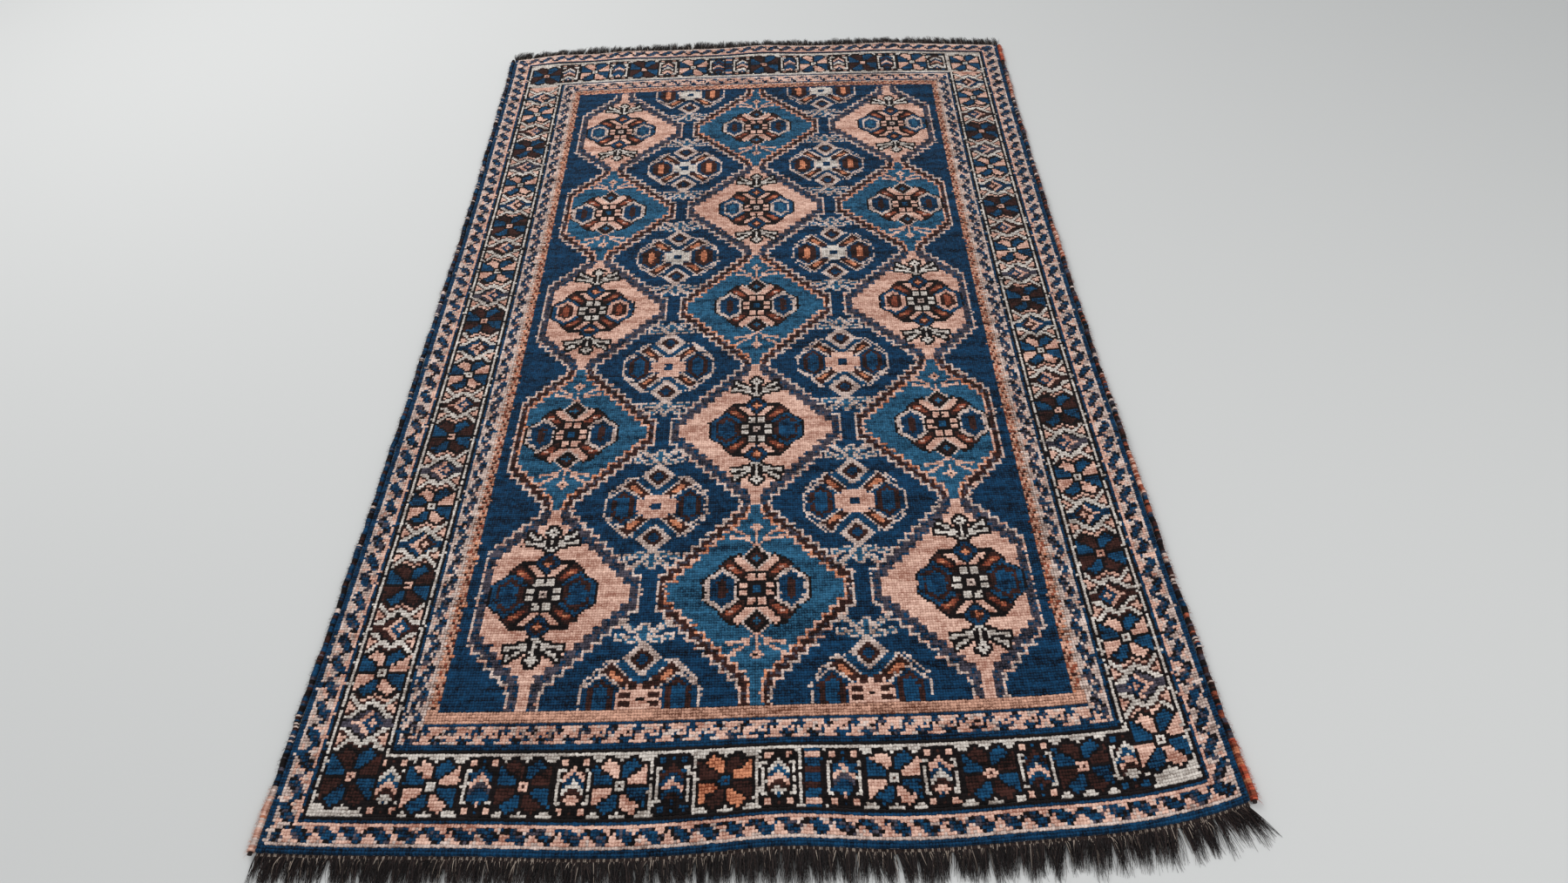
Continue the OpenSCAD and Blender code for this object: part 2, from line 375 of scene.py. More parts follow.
def meander(outer, inner):
    """Dark hooks along a pale band: an oblong at one side, a step down, and an oblong at the other side."""
    knots, deep, along, inside, on_end = band(outer, inner)
    far_side = np.where(on_end, 4, 3)

    def hooks(phase):
        high = (phase < 5) & (deep == 1) | (phase > 0) & (phase < 4) & (deep == 0)
        step = (phase == 5) & (deep >= 1) & (deep <= far_side)
        low = (phase >= 5) & (deep == far_side) | (phase > 5) & (phase < 8) & (deep == far_side + 1)
        dots = (deep == 2) & (phase == 1) | (deep == 3) & (phase == 3)
        dots |= (deep == far_side - 1) & (phase == 7)
        return inside & (high | step | low | dots)

    mottle(knots, inside & on_end, SALMON, SALMON, SALMON, PINK)
    mottle(knots, inside & ~on_end, PINK, PINK, PINK, SALMON)
    knots[hooks((along + 1) % MEANDER) & ~on_end] = PLUM
    mottle(knots, hooks(along % MEANDER), NAVY, BLACK, NAVY, NAVY, PLUM)


def barber_pole(outer, inner):
    """Rust and brown knots slanting across a salmon stripe with pale edges."""
    knots, deep, along, inside, _ = band(outer, inner)
    knots[inside] = APRICOT
    knots[inside & (deep == 0) & (along % 2 == 0)] = PINK
    slant = (along + 2 * deep) % 5
    mottle(knots, inside & (deep > 0) & (slant < 2), RUST, ORANGE, RUST)
    mottle(knots, inside & (deep > 0) & (slant < 1), BROWN, BROWN, RUST)


def rosette(area, column, row, half_w, half_h, first, second, centre):
    """Eight petals in two alternating yarns, outlined in black round a small square."""
    column, row = math.floor(column) + 0.5, math.floor(row) + 0.5
    m = Motif(area, column, row, half_w + 1, half_h + 1)
    seam_slope = 0.86 * half_h / half_w
    upright = m.ay > seam_slope * m.ax
    peak = 0.46 * half_w
    shoulder = np.where(m.ax < peak, 0.6, 1.2)
    kite = upright & (m.ay + shoulder * abs(m.ax - peak) < half_h - 1.2)
    wedge = ~upright & (m.ax < half_w - 0.6) & (m.ax + 1.1 * m.ay < half_w + 0.6 * half_h)
    petals = kite | wedge
    m.paint(~shrink(~petals, 1) & (m.ax < half_w), BLACK)
    second_petal = upright == (m.x * m.y > 0)
    m.paint(petals & second_petal, second)
    m.paint(petals & ~second_petal, first)
    seam = (m.ax < 0.55) & upright | (m.ay < 0.55) & ~upright
    seam |= abs(m.ay - seam_slope * m.ax) < 0.5
    m.paint(seam & petals, BLACK)
    m.paint((m.ax < 2.6) & (m.ay < 2.6), BLACK)
    m.paint((m.ax < 1.6) & (m.ay < 1.6), centre)
    m.paint((m.ax < 0.6) & (m.ay < 0.6), BROWN)


def urn(area, column, row, half_w, half_h, corner, chevrons):
    """An upright hexagon striped with chevrons, in a white frame between two boxes of corner squares."""
    column, row = math.floor(column) + 0.5, math.floor(row) + 0.5
    m = Motif(area, column, row, half_w, half_h)
    m.paint((m.ax < half_w) & (m.ay < half_h), BLACK)
    m.paint((m.ax < half_w - 1) & (m.ay < half_h), IVORY)
    m.oblong(3.5, half_h - 1.5, 2.2, 1.9, BLACK)
    m.oblong(3.5, half_h - 1.5, 1.2, 0.9, corner)
    stem = (m.ax < 1.6) & (m.ay > half_h - 6.0)
    m.paint(stem, BLACK)
    m.paint(stem & (m.ax < 0.6) & (m.ay < half_h - 0.8), chevrons[0])
    height = m.ay + 0.85 * np.maximum(m.ax - 0.5, 0)
    m.paint((m.ax < 4.6) & (height < half_h - 1.6), BLACK)
    body = (m.ax < 3.6) & (height < half_h - 2.7)
    m.stripes(body, (m.y + np.maximum(m.ax - 0.5, 0) + 20) / 2.2, chevrons)
    m.paint((m.ax < 0.6) & (abs(m.y - 2) < 0.6), IVORY)


def narrow_stripes(area, column, row, half_h):
    """A slim upright oblong of level stripes in a black outline."""
    m = Motif(area, math.floor(column) + 0.5, math.floor(row) + 0.5, 4, half_h)
    m.paint(m.ax < 3.6, BLACK)
    m.stripes(m.ax < 2.5, (m.ay + 1) / 2.4, (NAVY, BROWN, INDIGO, SALMON, INDIGO))


def hooked_diamond(area, column, row, turned, ring, eye):
    """White arms that cross above and below a lopsided diamond, with salmon triangles at both sides."""
    m = Motif(area, column, math.floor(row) + 0.5, 9, 12)
    arch = m.ay - (7.2 - 0.72 * m.ax)
    arm = 1.6 + 0.95 * m.ax - m.ay
    triangle = np.minimum(arch, arm)
    beyond = (arm < -1.4) & (arch > 1.4)
    m.paint(beyond | (triangle > 1.1), BROWN)
    m.paint(beyond & (arm < -2.4) & (arch > 2.4), SALMON)
    m.paint((triangle > 2.0) & (m.ax < 8.6), SALMON)
    m.paint(arch < -0.9, BLACK)
    m.paint((0.8 * m.ax + m.ay < 5.6) | (m.ay < 1.1), ring)
    x = m.x * turned
    m.paint(0.9 * abs(x - 0.8) + m.ay < 4.4, SALMON)
    m.paint(0.9 * abs(x - 2.0) + m.ay < 3.6, eye)
    m.paint(0.9 * abs(x - 2.0) + m.ay < 1.3, SALMON)


# A rosette's yarns, as (first petals, second petals, centre), and the names of the other two motifs
BLUE_BROWN = (BROWN, INDIGO, SALMON)
BLUE_SALMON = (SALMON, INDIGO, IVORY)
BROWN_ORANGE = (ORANGE, BROWN, INDIGO)
URN = "urn"
NARROW = "narrow"

# The main border's motifs at both ends, from left to right, by the column they stand on
NEAR_MOTIFS = (
    (35, URN), (49.5, BLUE_SALMON), (65, URN), (79.5, BLUE_BROWN), (95, URN), (110.5, BLUE_SALMON),
    (127.5, URN), (144.5, BROWN_ORANGE), (161.5, URN), (172, NARROW), (182, URN), (198.5, BLUE_SALMON),
    (213.5, URN), (229, BLUE_BROWN), (244.5, URN), (259.5, BLUE_BROWN), (274.5, URN),
)
FAR_MOTIFS = (
    (36.5, URN), (52, BLUE_SALMON), (67.5, URN), (83, BLUE_BROWN), (98.5, URN), (114.5, BLUE_SALMON),
    (130, URN), (137.5, NARROW), (145, URN), (159.5, BLUE_BROWN), (175, URN), (190.5, BLUE_SALMON),
    (206, URN), (221.5, BLUE_BROWN), (236.5, URN), (252, BLUE_SALMON), (267.5, URN),
)
# The rosettes on the corners reach from the end borders into the side borders: (column, row, yarns)
CORNER_ROSETTES = (
    (22.5, 23, BLUE_BROWN), (286, 25, BLUE_SALMON),
    (22.5, ROWS_ALONG - 24, BLUE_BROWN), (285.5, ROWS_ALONG - 24, BLUE_SALMON),
)
# An urn's stripes, in four ways by turns; those in blue are counted from the left
CHEVRONS = (
    (BROWN, SALMON, INDIGO, IVORY), (NAVY, PLUM, SALMON, INDIGO), (BROWN, IVORY, NAVY, SALMON),
    (INDIGO, SALMON, NAVY, BROWN),
)
BLUE_CORNERED_URNS = (3, 8)


def end_border(area, row, half_h, motifs):
    """The main border across one end; the urns leave a white line along both of its edges."""
    urns = 0
    for column, kind in motifs:
        if kind == URN:
            corner = INDIGO if urns in BLUE_CORNERED_URNS else SALMON
            urn(area, column, row, URN_HALF_W, half_h - 1, corner, CHEVRONS[urns % len(CHEVRONS)])
            urns += 1
        elif kind == NARROW:
            narrow_stripes(area, column, row, half_h - 1)
        else:
            rosette(area, column, row, END_ROSETTE_HALF_W, half_h, *kind)


def side_border(area, column, first_row, turned):
    """Rosettes up one long side, with a hooked diamond between each two and at both ends."""
    for i in range(-1, SIDE_ROSETTES):
        ring, eye = ((BROWN, INDIGO), (NAVY, BROWN), (PLUM, NAVY))[i % 3]
        hooked_diamond(area, column, first_row + (i + 0.5) * SIDE_PITCH, turned, ring, eye)
    for i in range(SIDE_ROSETTES):
        kind = BLUE_BROWN if i % 2 else BLUE_SALMON
        rosette(area, column, first_row + i * SIDE_PITCH, *SIDE_ROSETTE_HALF, *kind)


def main_border():
    """White, with motifs on it, and two black lines along each long side."""
    near, far = window(MAIN_INNER)[2:]
    for column in SIDE_LINES:
        chart[near:far, [column, -1 - column]] = BLACK
    side_border(LEFT_AREA, SIDE_COLUMN, LEFT_FIRST_ROW, 1)
    side_border(RIGHT_AREA, KNOTS_ACROSS - SIDE_COLUMN, RIGHT_FIRST_ROW, -1)
    end_border(NEAR_AREA, NEAR_MIDDLE, NEAR_HALF_H, NEAR_MOTIFS)
    end_border(FAR_AREA, FAR_MIDDLE, FAR_HALF_H, FAR_MOTIFS)
    for column, row, kind in CORNER_ROSETTES:
        rosette(window(CORNERS), column, row, *CORNER_ROSETTE_HALF, *kind)


def borders():
    """Every border from the edge inwards; each part is painted over the one before it."""
    fill(EDGE, NAVY)
    fill(PALE_LINE, PINK)
    running_dog(VINE, VINE_END)
    fill(VINE_END, SALMON)
    fill(NAVY_LINE, NAVY)
    fill(BLACK_LINE, BLACK)
    fill(MAIN, IVORY)
    main_border()
    fill(MAIN_END, BLACK)
    fill(INNER_NAVY_LINE, NAVY)
    fill(INNER_GUARD, PINK)
    meander(HOOKS, HOOKS_END)
    fill(HOOKS_END, PINK)
    fill(STRIPE_LINE, NAVY)
    barber_pole(STRIPE, STRIPE_END)
    left, right, near, _ = window(STRIPE)
    chart[near:near + PLAIN_STRIPE_ROWS, left:right] = APRICOT
    fill(STRIPE_END, NAVY)


def mistie(share):
    """A few knots tied in their neighbour's yarn, which leaves ragged edges."""
    shift = chance.integers(-1, 2, chart.shape)
    swap = chance.random(chart.shape) < share
    columns = np.clip(np.arange(KNOTS_ACROSS)[None, :] + shift, 0, KNOTS_ACROSS - 1)
    rows = np.arange(ROWS_ALONG)[:, None]
    chart[swap] = chart[rows, columns][swap]


borders()
field()
mistie(MISTIED)

# ---- how the flat layout lies on the floor
# The outline repeats the CAD's: drawn-in sides, and corners behind the middle of each end
WAIST_IN = 0.016
NEAR_LEFT_BACK = 0.014
NEAR_RIGHT_BACK = 0.044
FAR_BACK = 0.030
SIDE_POWER = 3
CORNER_POWER = 5

# Soft swells where the rug doesn't lie quite flat: (x, y, half width, half length, height)
SWELLS = (
    (0.03, 0.02, 0.10, 0.10, 0.0055),
    (-0.30, 0.00, 0.12, 0.05, 0.0020),
    (0.36, 0.03, 0.07, 0.08, 0.0030),
    (-0.50, PILE_L, 0.05, 0.06, 0.0040),
    (-0.33, PILE_L, 0.06, 0.07, 0.0035),
    (0.02, PILE_L, 0.07, 0.09, 0.0055),
    (0.33, PILE_L, 0.08, 0.06, 0.0045),
    (0.60, 1.20, 0.05, 0.22, 0.0030),
    (0.61, 0.62, 0.04, 0.16, 0.0035),
    (-0.61, 1.00, 0.05, 0.25, 0.0025),
    (-0.60, 1.70, 0.04, 0.14, 0.0030),
)
# The near edge sags towards the viewer between its swells: (x, half width, how far)
SAGS = ((-0.18, 0.14, 0.006), (0.20, 0.10, 0.004), (0.04, 0.07, -0.003))
SAG_DEPTH = 0.12


def lay(x, y, z):
    """World points of points on the flat rug: x from its middle, y from its near edge, z above the floor."""
    x, y, z = np.broadcast_arrays(x, y, z)
    u = 2 * x / PILE_W
    v = y / PILE_L
    back = np.where(u < 0, NEAR_LEFT_BACK * abs(u) ** SIDE_POWER, NEAR_RIGHT_BACK * abs(u) ** CORNER_POWER)
    wx = x - u * WAIST_IN * 4 * v * (1 - v)
    wy = START_Y + y + back * (1 - v) - FAR_BACK * abs(u) ** SIDE_POWER * v
    for middle, half, far in SAGS:
        wy = wy - far * np.exp(-((x - middle) / half) ** 2 - (y / SAG_DEPTH) ** 2)
    wz = z + 0.0
    for sx, sy, half_w, half_l, height in SWELLS:
        wz = wz + height * np.exp(-((x - sx) / half_w) ** 2 - ((y - sy) / half_l) ** 2)
    return np.stack([wx, wy, wz], axis=-1)


# ---- meshes
def add_object(name, data):
    added = bpy.data.objects.new(name, data)
    bpy.context.scene.collection.objects.link(added)
    return added


def mesh_piece(name, points, quads, material_index, materials, uvs=None):
    """A smooth object from arrays of points and four-cornered faces."""
    mesh = bpy.data.meshes.new(name)
    mesh.vertices.add(len(points))
    mesh.vertices.foreach_set("co", np.asarray(points, np.float32).ravel())
    mesh.loops.add(quads.size)
    mesh.loops.foreach_set("vertex_index", np.asarray(quads, np.int32).ravel())
    mesh.polygons.add(len(quads))
    mesh.polygons.foreach_set("loop_start", np.arange(0, quads.size, 4, dtype=np.int32))
    for material in materials:
        mesh.materials.append(material)
    mesh.polygons.foreach_set("material_index", np.asarray(material_index, np.int32))
    mesh.polygons.foreach_set("use_smooth", np.full(len(quads), True))
    if uvs is not None:
        layer = mesh.uv_layers.new(name="knots")
        layer.data.foreach_set("uv", np.asarray(uvs, np.float32).ravel())
    mesh.update(calc_edges=True)
    return add_object(name, mesh)


def attach(piece, slot, *nodes):
    """Every piece rides on the rug's one body, and stands for its CAD nodes."""
    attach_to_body(piece, "root")
    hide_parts(*nodes)
    return piece


# ---- wool materials
def linear(colour):
    """Scene colour from 0-255 screen values."""
    share = np.array(colour) / 255
    return tuple(np.where(share <= 0.04045, share / 12.92, ((share + 0.055) / 1.055) ** 2.4)) + (1.0,)


class Shading:
    """The nodes of one material. Each call but add gives the output of the node it makes."""

    def __init__(self, material):
        self.nodes, self.links = material.node_tree.nodes, material.node_tree.links

    def add(self, kind, **wires):
        """A node of a kind, with outputs of other nodes wired to its inputs by name."""
        node = self.nodes.new("ShaderNode" + kind)
        for socket, output in wires.items():
            self.links.new(output, node.inputs[socket])
        return node

    def vector_math(self, operation, value, second=None):
        node = self.add("VectorMath", Vector=value)
        node.operation = operation
        if second is not None:
            node.inputs[1].default_value = second
        return node.outputs["Value" if operation == "LENGTH" else "Vector"]

    def mix(self, factor, a, b):
        node = self.add("Mix", A=a, B=b)
        node.inputs["Factor"].default_value = factor
        return node.outputs["Result"]

    def each_knot(self, uv):
        """A random number for every knot."""
        node = self.add("TexWhiteNoise", Vector=self.vector_math("FLOOR", uv))
        node.noise_dimensions = "2D"
        return node.outputs["Value"]

    def noise(self, uv, scale, detail):
        """Noise stretched to its own scale across and along the rug, in waves to each knot."""
        node = self.add("TexNoise", Vector=self.vector_math("MULTIPLY", uv, scale))
        node.inputs["Scale"].default_value = 1.0
        node.inputs["Detail"].default_value = detail
        return node.outputs["Fac"]

    def span(self, value, low, high, to_low, to_high):
        node = self.add("MapRange", Value=value)
        for socket, number in zip(("From Min", "From Max", "To Min", "To Max"), (low, high, to_low, to_high)):
            node.inputs[socket].default_value = number
        return node.outputs["Result"]

    def ramp(self, value, *stops):
        node = self.add("ValToRGB", Fac=value)
        for element, (position, colour) in zip(node.color_ramp.elements, stops):
            element.position = position
            element.color = linear(colour)
        return node.outputs["Color"]

    def bump(self, height, strength, distance):
        node = self.add("Bump", Height=height)
        node.inputs["Strength"].default_value = strength
        node.inputs["Distance"].default_value = distance
        return node.outputs["Normal"]


# Waves of each pattern to a knot, across and along the rug
DYE_LOTS = (0.02, 0.2, 1)
STREAKS = (0.16, 0.5, 1)
FIBRES = (2.5, 2.5, 1)
# How much further the painted highlight on a tuft's tip reaches across than along, and where the painted
# shade in the gaps between rows starts and stops darkening, in knots
PAINTED_TIP_LIGHT_SHAPE = (0.75, 1.0, 0)
PAINTED_HIGHLIGHT_RADIUS = 0.15
PAINTED_GAP_SHADE_RADIUS = 0.62
PAINTED_TIP_LIGHT_SHARE = 0.26
# Where the darkest and the lightest shade stand on the ramp
DARK_STOP = 0.34
LIGHT_STOP = 0.80


def wool(name, dark, light):
    """Dyed wool. Each knot has its own shade, with a painted highlight on its tip and painted shade in the
    gaps between rows; rows of one dye lot run across the rug; and fine fibres roughen it."""
    material = bpy.data.materials.new(name)
    material.use_nodes = True
    shading = Shading(material)
    shader = shading.nodes["Principled BSDF"]
    knots = shading.nodes.new("ShaderNodeUVMap")
    knots.uv_map = "knots"
    uv = knots.outputs["UV"]
    shade = shading.each_knot(uv)
    dye_lot = shading.noise(uv, DYE_LOTS, 4.0)
    streaks = shading.noise(uv, STREAKS, 3.0)
    fibres = shading.noise(uv, FIBRES, 4.0)
    centred = shading.vector_math("SUBTRACT", shading.vector_math("FRACTION", uv), (0.5, 0.5, 0))
    from_tip = shading.vector_math("LENGTH", shading.vector_math("MULTIPLY", centred, PAINTED_TIP_LIGHT_SHAPE))
    # Painted light, not yarn colour: a painted highlight on each tuft's tip that fades to painted shade in
    # the gaps between rows
    tip = shading.span(from_tip, PAINTED_HIGHLIGHT_RADIUS, PAINTED_GAP_SHADE_RADIUS, 1, 0)
    # Each pattern takes a share of the shade, with its usual values, from low to high, spread from 0 to 1
    patterns = ((dye_lot, 0.5, 0.35, 0.65), (streaks, 0.3, 0.35, 0.65), (fibres, 0.3, 0.3, 0.7))
    for pattern, share, low, high in patterns:
        shade = shading.mix(share, shade, shading.span(pattern, low, high, 0, 1))
    # The painted highlight and painted shade take their share of every knot's colour
    shade = shading.mix(PAINTED_TIP_LIGHT_SHARE, shade, tip)
    links = shading.links
    links.new(shading.ramp(shade, (DARK_STOP, dark), (LIGHT_STOP, light)), shader.inputs["Base Color"])
    links.new(shading.span(fibres, 0.2, 0.8, 0.75, 1.0), shader.inputs["Roughness"])
    links.new(shading.bump(fibres, strength=0.7, distance=0.0012), shader.inputs["Normal"])
    shader.inputs["Sheen Weight"].default_value = 0.05
    shader.inputs["Sheen Roughness"].default_value = 0.5
    shader.inputs["Specular IOR Level"].default_value = 0.12
    return material


yarn_wool = [wool("wool_" + name, *shades) for name, shades in YARN_SHADES.items()]
warp_black = wool("warp_black", (8, 6, 7), (48, 40, 40))
warp_dark = wool("warp_dark", (22, 16, 16), (84, 68, 64))
warp_pale = wool("warp_pale", (120, 104, 92), (214, 196, 180))

# ---- pile
PILE_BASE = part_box("pile_field")[0].z
PILE_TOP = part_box("pile_field")[1].z
# How much lower the pile is between rows and between columns, and how much tufts differ in height and place
ROW_DIP = 0.0011
COLUMN_DIP = 0.0006
UNEVEN = 0.0005
TUFT_SHIFT = 0.00045
EDGE_SHIFT_SHARE = 0.3
# Each pile band is tied in several lengths, so that no mesh grows too heavy
LENGTHS = 4
WIDTHS = 2


def pile_height():
    """Heights of the pile at every half knot: each tuft is a dome, lowest between the rows."""
    across, along = 2 * KNOTS_ACROSS + 1, 2 * ROWS_ALONG + 1
    height = np.full((along, across), PILE_TOP - UNEVEN)
    height[::2, :] -= ROW_DIP
    height[:, ::2] -= COLUMN_DIP
    height += chance.normal(0, UNEVEN / 3, height.shape)
    tuft = chance.normal(0, UNEVEN / 2, (ROWS_ALONG, KNOTS_ACROSS))
    height[1::2, 1::2] += tuft
    return np.minimum(height, PILE_TOP)


def tuft_shift(shape):
    """How far each point strays from its place, less along the rug's edges."""
    shift = chance.normal(0, TUFT_SHIFT, shape)
    for edge in (shift[0], shift[-1], shift[:, 0], shift[:, -1]):
        edge *= EDGE_SHIFT_SHARE
    return shift


pile_surface = pile_height()
shift_x = tuft_shift(pile_surface.shape)
shift_y = tuft_shift(pile_surface.shape)

FACE_CORNERS = np.array([(0, 0), (1, 0), (1, 1), (0, 1)])


def grid_quads(rows, columns, first=0):
    """Faces of a grid of rows by columns points, seen from above."""
    corner = first + (np.arange(rows - 1)[:, None] * columns + np.arange(columns - 1)[None, :])
    return np.stack([corner, corner + 1, corner + columns + 1, corner + columns], -1).reshape(-1, 4)


def pile_region(name, region, slot, node):
    """The knots of a rectangle (left, right, near, far) as one mesh, with a skirt down to the weave."""
    left, right, near, far = region
    i = np.arange(2 * near, 2 * far + 1)
    j = np.arange(2 * left, 2 * right + 1)
    part = np.ix_(i, j)
    x = (j * KNOT_W / 2 - PILE_W / 2)[None, :] + shift_x[part]
    y = (i * KNOT_H / 2)[:, None] + shift_y[part]
    height = np.pad(pile_surface[part], 1, constant_values=PILE_BASE)
    points = lay(np.pad(x, 1, mode="edge"), np.pad(y, 1, mode="edge"), height).reshape(-1, 3)
    rows, columns = height.shape
    quads = grid_quads(rows, columns)
    fi, fj = np.divmod(np.arange(len(quads)), columns - 1)
    fi = np.clip(fi - 1, 0, len(i) - 2)
    fj = np.clip(fj - 1, 0, len(j) - 2)
    yarns = chart[near + fi // 2, left + fj // 2]
    half_knots = np.stack([2 * left + fj, 2 * near + fi], -1)
    uv = (half_knots[:, None] + FACE_CORNERS) / 2
    piece = mesh_piece(name, points, quads, yarns, yarn_wool, uv.reshape(-1, 2))
    return attach(piece, slot, node)


def cut(start, end, count):
    """Start and end of each of count nearly equal parts."""
    marks = [round(start + (end - start) * k / count) for k in range(count + 1)]
    return list(zip(marks[:-1], marks[1:]))


def pile_ring(outer, inner, corners_at_ends=False):
    """The parts of a border ring, by name: both long sides and both ends."""
    l0, r0, n0, f0 = window(outer)
    l1, r1, n1, f1 = window(inner)
    long_side, end = ((n1, f1), (l0, r0)) if corners_at_ends else ((n0, f0), (l1, r1))
    for k, (near, far) in enumerate(cut(*long_side, LENGTHS), 1):
        yield f"left_{k}", (l0, l1, near, far)
        yield f"right_{k}", (r1, r0, near, far)
    for k, (left, right) in enumerate(cut(*end, WIDTHS), 1):
        yield f"near_{k}", (left, right, n0, n1)
        yield f"far_{k}", (left, right, f1, f0)


RINGS = (
    ("pile_inner_stripe", "stripe_pile", INNER_GUARD_END, FIELD),
    ("pile_inner_guard", "guard_pile", MAIN_INNER, INNER_GUARD_END),
    ("pile_outer_guard", "guard_pile", EDGE, MAIN),
)


def pile_parts():
    """Name, region, slot and node of every piece of pile."""
    left, right, near, far = window(FIELD)
    for k, (low, high) in enumerate(cut(near, far, LENGTHS), 1):
        for side, (start, end) in zip(("left", "right"), cut(left, right, WIDTHS)):
            yield f"pile_field_{side}_{k}", (start, end, low, high), "field_pile", "pile_field"
    for node, slot, outer, inner in RINGS:
        for part, region in pile_ring(outer, inner):
            yield f"{node}_{part}", region, slot, node
    for part, region in pile_ring(MAIN, MAIN_INNER, corners_at_ends=True):
        name = "pile_main_border_" + part
        yield name, region, "border_pile", name.rsplit("_", 1)[0]


pile_pieces = [pile_region(*part) for part in pile_parts()]

# ---- ground weave
WEAVE_TOP = WEAVE_HIGH.z
# How far the ground weave's threads rise and fall, and how high its underside lies above the floor
LIFT = 0.0002


def slab(name, x, y, top, bottom, top_index, bottom_index, materials, slot, node, knots_per_face=1):
    """A closed mesh between two heights over a grid of flat places, its walls in the bottom's material."""
    columns, rows = len(x), len(y)
    points = np.concatenate([lay(x[None, :], y[:, None], z).reshape(-1, 3) for z in (top, bottom)])
    under = rows * columns
    over_faces = grid_quads(rows, columns)
    under_faces = grid_quads(rows, columns, under)[:, ::-1]
    index = np.arange(under).reshape(rows, columns)
    rim = np.concatenate([index[0, :-1], index[:-1, -1], index[-1, :0:-1], index[:0:-1, 0]])
    after = np.roll(rim, -1)
    walls = np.stack([rim, rim + under, after + under, after], -1)
    fi, fj = np.divmod(np.arange(len(over_faces)), columns - 1)
    uv = (np.stack([fj, fi], -1)[:, None] + FACE_CORNERS) * knots_per_face
    uvs = np.concatenate([uv, uv[:, ::-1], FACE_CORNERS + walls[:, :1, None]])
    over_index = np.broadcast_to(top_index, len(over_faces))
    indices = np.concatenate([over_index, bottom_index, np.full(len(walls), bottom_index[0])])
    quads = np.concatenate([over_faces, under_faces, walls])
    piece = mesh_piece(name, points, quads, indices, materials, uvs.reshape(-1, 2))
    return attach(piece, slot, node)


def knot_backs():
    """The chart at half its size: the yarn that most of each four knots have."""
    fours = np.stack([chart[i::2, j::2] for i in (0, 1) for j in (0, 1)])
    votes = np.stack([(fours == yarn).sum(axis=0) for yarn in range(YARN_COUNT)])
    return votes.argmax(axis=0).reshape(-1)


def make_ground_weave():
    """Seen from below, the weave shows the backs of the knots; from above the pile covers it."""
    x = np.arange(0, KNOTS_ACROSS + 1, 2) * KNOT_W - PILE_W / 2
    y = np.arange(0, ROWS_ALONG + 1, 2) * KNOT_H
    chequer = (np.arange(len(y))[:, None] + np.arange(len(x))[None, :]) % 2
    top, bottom = WEAVE_TOP - LIFT * chequer, LIFT * (1 + chequer)
    return slab("ground_weave_cloth", x, y, top, bottom, YARN_COUNT, knot_backs(), [*yarn_wool, warp_pale],
                "ground_weave", "ground_weave", knots_per_face=2)


# ---- plain woven ends
END_WEAVE_L = 0.006
PIECE_GAP = 0.0003
# How far the end weave lies below the ground weave's top, and how far its threads rise and fall
END_WEAVE_DROP = 0.0006
THREAD_RISE = 0.0005
THREAD_UNEVEN = 0.0001


def end_weave(end):
    """A narrow plain weave: each warp goes over and under the wefts by turns."""
    x = np.linspace(-PILE_W / 2, PILE_W / 2, 4 * KNOTS_ACROSS + 1)
    out = np.linspace(PIECE_GAP, END_WEAVE_L, 9)
    y = -out[::-1] if end == "near" else PILE_L + out
    quarter = math.pi / 2
    over = np.cos(np.arange(len(x)) * quarter)[None, :] * np.cos(np.arange(len(y)) * quarter)[:, None]
    top = WEAVE_TOP - END_WEAVE_DROP + THREAD_RISE * over + chance.normal(0, THREAD_UNEVEN, over.shape)
    bottom = np.full(top.shape, LIFT)
    pale = (np.arange(len(x) - 1) // 2 + chance.integers(0, 2, len(x) - 1)) % 4 == 0
    index = np.tile(pale.astype(int), len(y) - 1)
    return slab(f"end_weave_{end}_cloth", x, y, top, bottom, index, index, [warp_dark, warp_pale],
                "ground_weave", "end_weave_" + end)


# ---- selvages and corner bindings
SELVAGE_Z = 0.0051
CORE_R = 0.0029
WRAP_R = 0.0044
BINDING_R = 0.005
BINDING_L = 0.085
WRAP_PITCH = 0.0024
BINDING_PITCH = 0.0032
WRAP_HAIRS = 1500
BINDING_HAIRS = 160
# More turns than any selvage or binding has
WRAP_TURNS = 1000
BINDING_TURNS = 60
SIDES = 10
RINGS_PER_TURN = 4
CORE_STEPS = 420
CORE_WARPS = 5
CORE_TWIST = 0.012
CORE_PROUD = 0.004
HAIR_ROOT_R = 0.00022
HAIR_TIP_R = 0.00008
HAIR_STEPS = 3
HAIR_FLOOR = 0.0008


def selvage_line(hand, y):
    """The middle line of a selvage, which wavers a little."""
    edge = lay(np.full(len(y), hand * PILE_W / 2), y, SELVAGE_Z)
    waver = 0.0008 * np.sin(y / 0.037 + hand) + 0.0006 * np.sin(y / 0.0113) + 0.0004 * np.sin(y / 0.0051)
    edge[:, 0] += hand * (PIECE_GAP + BINDING_R) + waver
    edge[:, 2] += 0.0003 + 0.0003 * np.sin(y / 0.021)
    return edge


def tube(centres, radii):
    """Points and faces of a closed tube round a line that runs along Y, with a radius for every point."""
    rings, sides = radii.shape
    angle = (np.arange(sides) + 0.5) / sides * 2 * math.pi
    x = centres[:, None, 0] + radii * np.cos(angle)
    z = centres[:, None, 2] + radii * np.sin(angle)
    y = np.broadcast_to(centres[:, None, 1], x.shape)
    first = np.arange(rings - 1)[:, None] * sides
    here, after = np.arange(sides), (np.arange(sides) + 1) % sides
    quads = np.stack([first + here, first + sides + here, first + sides + after, first + after], -1)
    fan = np.array([(0, k, k + 1, k + 2) for k in range(1, sides - 2, 2)])
    far_cap = (rings - 1) * sides + fan[:, ::-1]
    return np.stack([x, y, z], -1).reshape(-1, 3), quads.reshape(-1, 4), np.concatenate([fan, far_cap])


